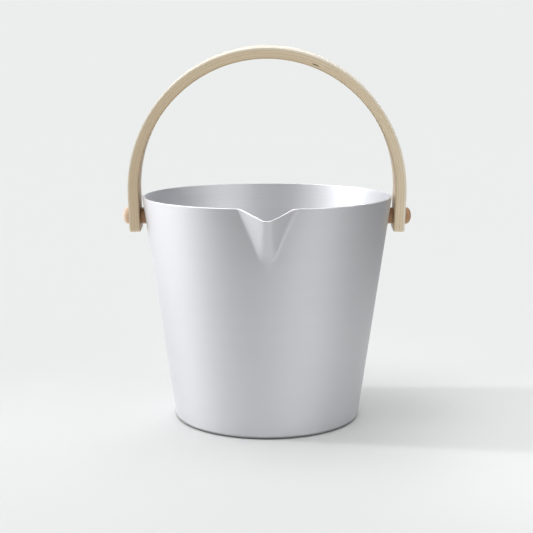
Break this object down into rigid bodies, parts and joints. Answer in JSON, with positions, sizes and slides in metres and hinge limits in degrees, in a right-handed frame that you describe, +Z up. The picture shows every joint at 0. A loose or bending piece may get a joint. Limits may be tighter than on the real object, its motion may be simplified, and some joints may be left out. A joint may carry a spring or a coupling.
{
  "type": "sauna bucket",
  "caption": "Tapered spun metal bucket with a pouring spout pressed from its rim and a bent laminated wood bow handle that swings on turned wooden pegs.",
  "frame": {"origin": "centre of the flat bottom, on the surface the bucket stands on", "axes": "+Z up along the vessel's axis, -Y towards the spout, +X along the handle's pivots"},
  "size_m": [0.2672, 0.2467, 0.3438],
  "materials": {
    "aluminium": "satin, fine turned lines round the axis",
    "bamboo": "smooth pale bamboo, thin clear finish",
    "redwood": "turned and oiled reddish wood",
    "steel": "plain stainless",
    "seal": "matte"
  },
  "bodies": {
    "vessel": {"vessel": "aluminium", "peg_left": "redwood", "peg_right": "redwood", "spacer_left": "redwood", "spacer_right": "redwood", "screw_left": "steel", "screw_right": "steel", "seal_washer_left": "seal", "seal_washer_right": "seal"},
    "handle": {"bow_ply_1": "bamboo", "bow_ply_2": "bamboo", "bow_ply_3": "bamboo", "bow_ply_4": "bamboo"}
  },
  "joints": [
    {"name": "handle_swing", "type": "hinge", "parent": "vessel", "child": "handle", "pos_m": [0, 0, 0.1885], "axis": [1, 0, 0], "range_deg": [-138, 126]}
  ]
}
